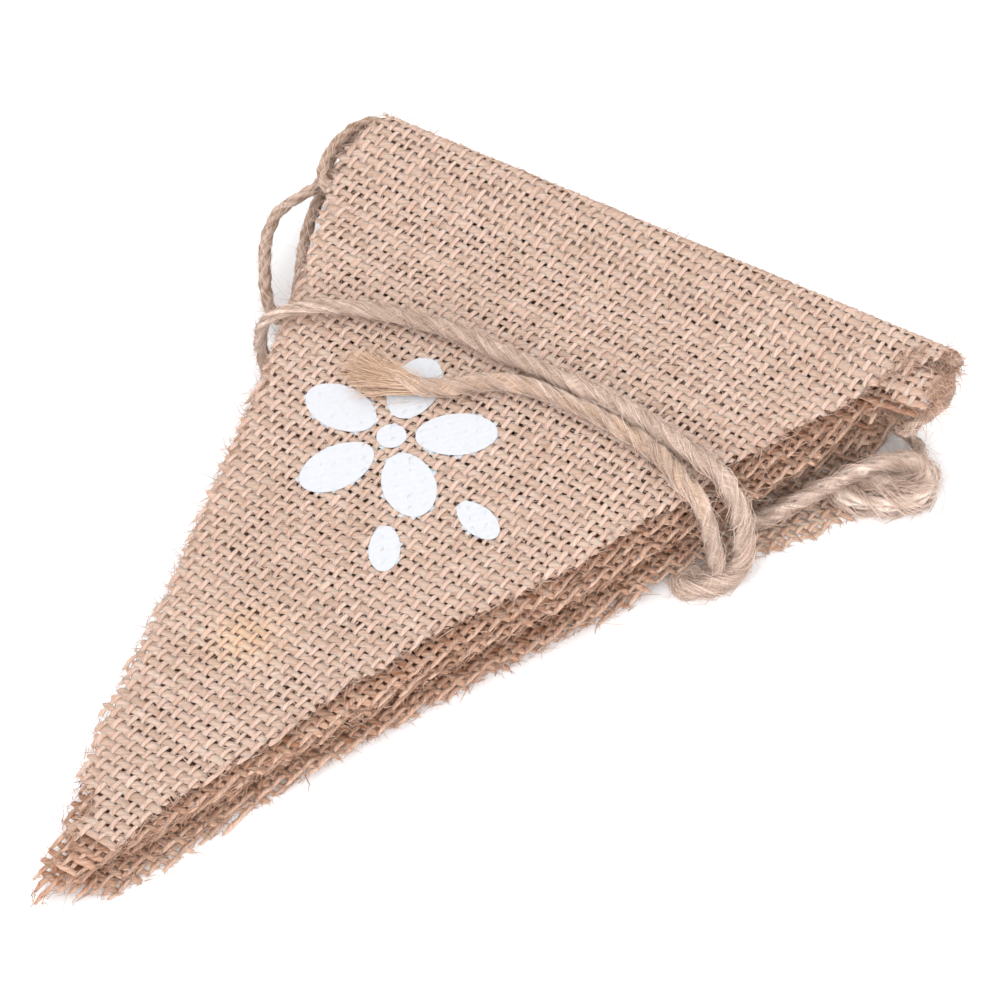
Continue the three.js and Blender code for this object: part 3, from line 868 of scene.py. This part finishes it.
def fibre_material(name, dark, light, scale, bump, soft):
    """Plant fibre: streaks along the yarn, a tone from the marks, golden tint and white paint."""
    material, nodes, links, shader = new_material(name)
    uv = nodes.new("ShaderNodeUVMap")
    uv.uv_map = "Yarn"
    mapping = nodes.new("ShaderNodeMapping")
    mapping.inputs["Scale"].default_value = scale
    links.new(uv.outputs["UV"], mapping.inputs["Vector"])
    streak = nodes.new("ShaderNodeTexNoise")
    streak.inputs["Scale"].default_value = 1.0
    streak.inputs["Detail"].default_value = 3.0
    links.new(mapping.outputs["Vector"], streak.inputs["Vector"])
    crisp = spread(nodes, links, streak, 0.33, 0.67)
    object_place = nodes.new("ShaderNodeTexCoord")
    patch = nodes.new("ShaderNodeTexNoise")
    patch.inputs["Scale"].default_value = 160.0
    patch.inputs["Detail"].default_value = 4.0
    links.new(object_place.outputs["Object"], patch.inputs["Vector"])
    mottle = spread(nodes, links, patch, 0.35, 0.65)
    marks = nodes.new("ShaderNodeVertexColor")
    marks.layer_name = "Marks"
    split = nodes.new("ShaderNodeSeparateColor")
    links.new(marks.outputs["Color"], split.inputs["Color"])
    tone = weigh(nodes, links, split.outputs["Red"], 0.5, None)
    streaked = weigh(nodes, links, crisp, 0.45, tone)
    ramp = weigh(nodes, links, mottle, 0.1, streaked)
    fibre = nodes.new("ShaderNodeMix")
    fibre.data_type = "RGBA"
    fibre.inputs["A"].default_value = (*dark, 1)
    fibre.inputs["B"].default_value = (*light, 1)
    links.new(ramp, fibre.inputs["Factor"])
    stained = nodes.new("ShaderNodeMix")
    stained.data_type = "RGBA"
    stained.inputs["B"].default_value = (*GOLDEN, 1)
    links.new(fibre.outputs["Result"], stained.inputs["A"])
    links.new(weigh(nodes, links, split.outputs["Blue"], 0.3, None), stained.inputs["Factor"])
    painted_over = nodes.new("ShaderNodeMix")
    painted_over.data_type = "RGBA"
    painted_over.inputs["B"].default_value = (*PAINTED_YARN, 1)
    links.new(stained.outputs["Result"], painted_over.inputs["A"])
    sharp = nodes.new("ShaderNodeMath")
    sharp.operation = "GREATER_THAN"
    sharp.inputs[1].default_value = 0.5
    links.new(split.outputs["Green"], sharp.inputs[0])
    links.new(sharp.outputs["Value"], painted_over.inputs["Factor"])
    links.new(painted_over.outputs["Result"], shader.inputs["Base Color"])
    relief = nodes.new("ShaderNodeBump")
    relief.inputs["Strength"].default_value = bump
    relief.inputs["Distance"].default_value = 0.0002
    links.new(crisp, relief.inputs["Height"])
    links.new(relief.outputs["Normal"], shader.inputs["Normal"])
    shader.inputs["Roughness"].default_value = 0.85
    shader.inputs["Specular IOR Level"].default_value = 0.12
    shader.inputs["Subsurface Weight"].default_value = soft
    shader.inputs["Subsurface Radius"].default_value = (1.0, 0.62, 0.42)
    shader.inputs["Subsurface Scale"].default_value = 0.0009
    return material


def paint_material():
    """Matt white paint with a fine grain."""
    material, nodes, links, shader = new_material("stencil_paint")
    place_node = nodes.new("ShaderNodeTexCoord")
    grain = nodes.new("ShaderNodeTexNoise")
    grain.inputs["Scale"].default_value = 900.0
    links.new(place_node.outputs["Object"], grain.inputs["Vector"])
    colour = nodes.new("ShaderNodeMix")
    colour.data_type = "RGBA"
    colour.inputs["A"].default_value = (*PAINT_FILM[0], 1)
    colour.inputs["B"].default_value = (*PAINT_FILM[1], 1)
    links.new(grain.outputs["Fac"], colour.inputs["Factor"])
    links.new(colour.outputs["Result"], shader.inputs["Base Color"])
    relief = nodes.new("ShaderNodeBump")
    relief.inputs["Strength"].default_value = 0.25
    relief.inputs["Distance"].default_value = 0.0002
    links.new(grain.outputs["Fac"], relief.inputs["Height"])
    links.new(relief.outputs["Normal"], shader.inputs["Normal"])
    shader.inputs["Roughness"].default_value = 0.6
    return material


def floor_material():
    material, _, _, shader = new_material("floor")
    shader.inputs["Base Color"].default_value = (*FLOOR, 1)
    shader.inputs["Roughness"].default_value = 0.9
    return material


def aim_at_origin(thing, azimuth, elevation, distance):
    """Places a camera or light in the scene so that it looks at the origin."""
    turn, rise = math.radians(azimuth), math.radians(elevation)
    flat = distance * math.cos(rise)
    thing.location = (flat * math.sin(turn), -flat * math.cos(turn), distance * math.sin(rise))
    sight = Vector((0, 0, 0)) - thing.location
    thing.rotation_euler = sight.to_track_quat("-Z", "Y").to_euler()
    bpy.context.scene.collection.objects.link(thing)


def add_camera():
    data = bpy.data.cameras.new("camera")
    data.lens = CAMERA_LENS
    data.sensor_width = 36
    data.clip_start = 0.01
    camera = bpy.data.objects.new("camera", data)
    aim_at_origin(camera, CAMERA_AZIMUTH, CAMERA_ELEVATION, CAMERA_DISTANCE)
    bpy.context.scene.camera = camera


def add_light(name, azimuth, elevation, distance, size, power):
    data = bpy.data.lights.new(name, "AREA")
    data.size = size
    data.energy = power
    light = bpy.data.objects.new(name, data)
    aim_at_origin(light, CAMERA_AZIMUTH + azimuth, elevation, distance)


def add_studio():
    world = bpy.data.worlds.new("studio")
    world.use_nodes = True
    backdrop = world.node_tree.nodes["Background"]
    backdrop.inputs["Color"].default_value = (1, 1, 1, 1)
    backdrop.inputs["Strength"].default_value = WORLD_LIGHT
    bpy.context.scene.world = world
    bpy.context.scene.view_settings.view_transform = "Standard"
    for light in LIGHTS:
        add_light(**light)
    corners = np.array([[-1, -1, 0], [1, -1, 0], [1, 1, 0], [-1, 1, 0]]) * FLOOR_HALF / MM
    floor = make_mesh("floor", corners, np.array([[0, 1, 2, 3]]))
    floor.data.materials.append(floor_material())


add_camera()

jute = fibre_material("jute", *JUTE_TONES, JUTE_STREAKS, 1.0, 0.5)
jute_fibre = fibre_material("jute_fibre", *JUTE_TONES, JUTE_STREAKS, 0, 0)
burlap = fibre_material("burlap", *BURLAP_TONES, BURLAP_STREAKS, 0.6, 0.6)
burlap_fibre = fibre_material("burlap_fibre", *BURLAP_TONES, BURLAP_STREAKS, 0, 0)
# The inner pennants' materials are a shaded copy of the burlap: painted shade for the pennants
# under the top one and for the frayed hem ends
shaded_inner_burlap = fibre_material("shaded_inner_burlap", *SHADED_INNER_TONES, BURLAP_STREAKS, 0.7, 0.5)
shaded_inner_fibre = fibre_material("shaded_inner_fibre", *SHADED_INNER_TONES, BURLAP_STREAKS, 0, 0)


def dress(piece, material):
    """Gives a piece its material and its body."""
    piece.data.materials.append(material)
    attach(piece, "root")


twine, centreline, where, travelled, axes, wide, twist = build_twine()
fuzz = twine_fuzz(centreline, where, axes, wide)
brush = brush_end(centreline, where, axes)
fibres = lying_fibres(centreline, where, axes, wide, twist)
dress(twine, jute)
for piece in (fuzz, brush, fibres):
    dress(piece, jute_fibre)
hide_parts("twine")

for n in range(PENNANTS):
    cloth, fringe = woven_pennant(n)
    rim = matted_rim(n)
    dress(cloth, burlap if n == 0 else shaded_inner_burlap)
    extras = [fringe, rim]
    for piece in extras:
        dress(piece, burlap_fibre if n == 0 else shaded_inner_fibre)
    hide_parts(f"pennant_{n + 1}")
    if n < len(HEM_ENDS):
        extras.append(hem_end_fibres(n, **HEM_ENDS[n]))
        dress(extras[-1], shaded_inner_fibre)
    if n == 0:
        extras.append(paint_film())
        dress(extras[-1], paint_material())
        for make in (cloth_fuzz, cloth_haze, stray_fibres):
            extras.append(make())
            dress(extras[-1], burlap_fibre)

add_studio()
